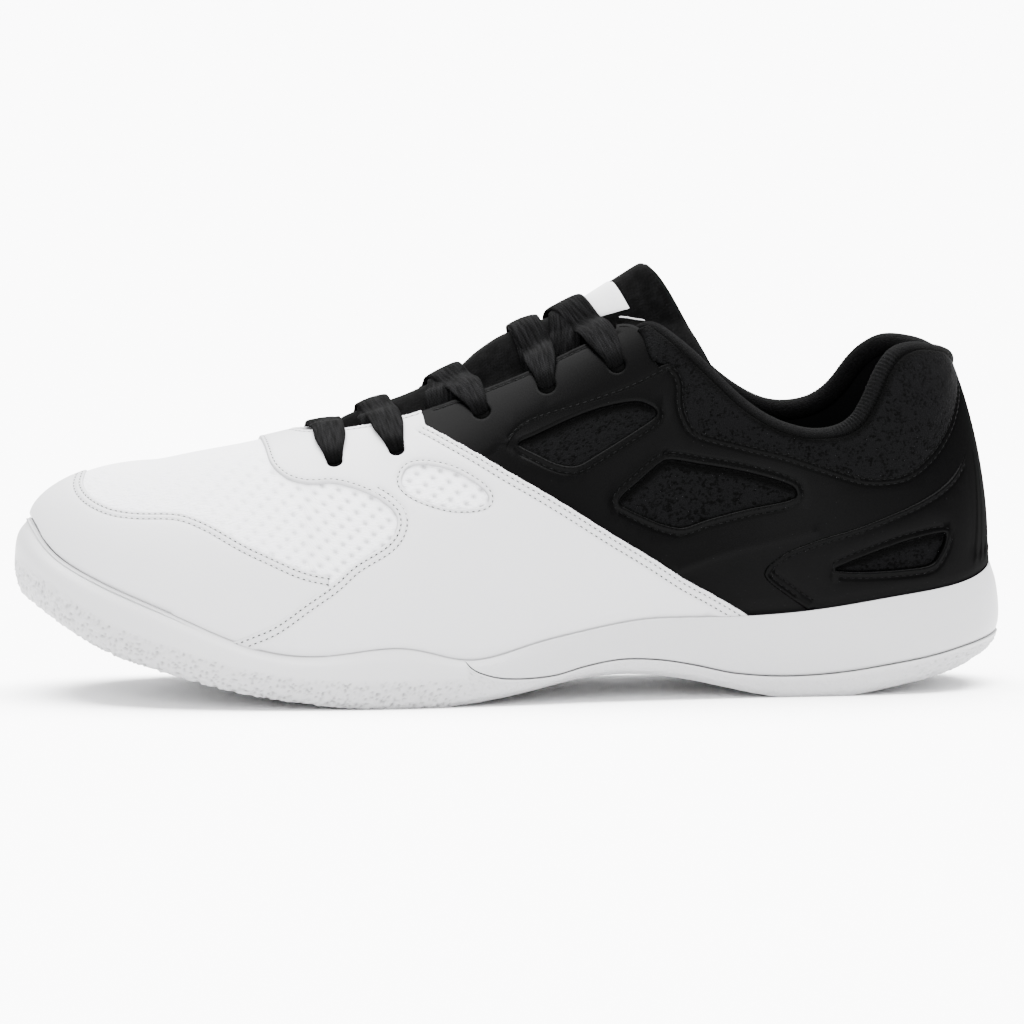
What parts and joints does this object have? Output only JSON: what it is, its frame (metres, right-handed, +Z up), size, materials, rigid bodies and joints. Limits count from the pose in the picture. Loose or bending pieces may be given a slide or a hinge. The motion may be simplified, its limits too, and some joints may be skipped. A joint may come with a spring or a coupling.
{
  "type": "table tennis shoe",
  "caption": "Low-cut left table tennis shoe, white leather forefoot and black leather heel over mesh, padded collar, flat black laces, white rubber sole.",
  "frame": {"origin": "middle of the whole object's box, on the ground plane under the sole", "axes": "+X from the toe to the heel, +Y to the inner (medial) side of the foot, +Z up"},
  "size_m": [0.2882, 0.1042, 0.1243],
  "materials": {
    "outsole_rubber": "matt white rubber with a pebbled lower edge",
    "midsole_foam": "smooth satin white moulded foam rubber",
    "insole_cloth": "matt black cloth",
    "upper_mesh": "fine mesh, white in front and black behind",
    "tongue_cloth": "matt black ribbed woven cloth",
    "white_leather": "smooth satin white synthetic leather",
    "black_leather": "smooth satin black synthetic leather",
    "collar_knit": "matt black ribbed knit over padding",
    "lace_weave": "flat black woven lace"
  },
  "bodies": {
    "root": {"outsole": "outsole_rubber", "midsole": "midsole_foam", "insole": "insole_cloth", "upper": "upper_mesh", "tongue": "tongue_cloth", "toe_guard": "white_leather", "vamp_overlay": "white_leather", "heel_counter": "black_leather", "eyestay_lateral": "black_leather", "eyestay_medial": "black_leather", "quarter_lateral": "black_leather", "quarter_medial": "black_leather", "collar_roll": "collar_knit", "lace_1": "lace_weave", "lace_2": "lace_weave", "lace_3": "lace_weave", "lace_4": "lace_weave", "lace_5": "lace_weave"}
  },
  "joints": []
}
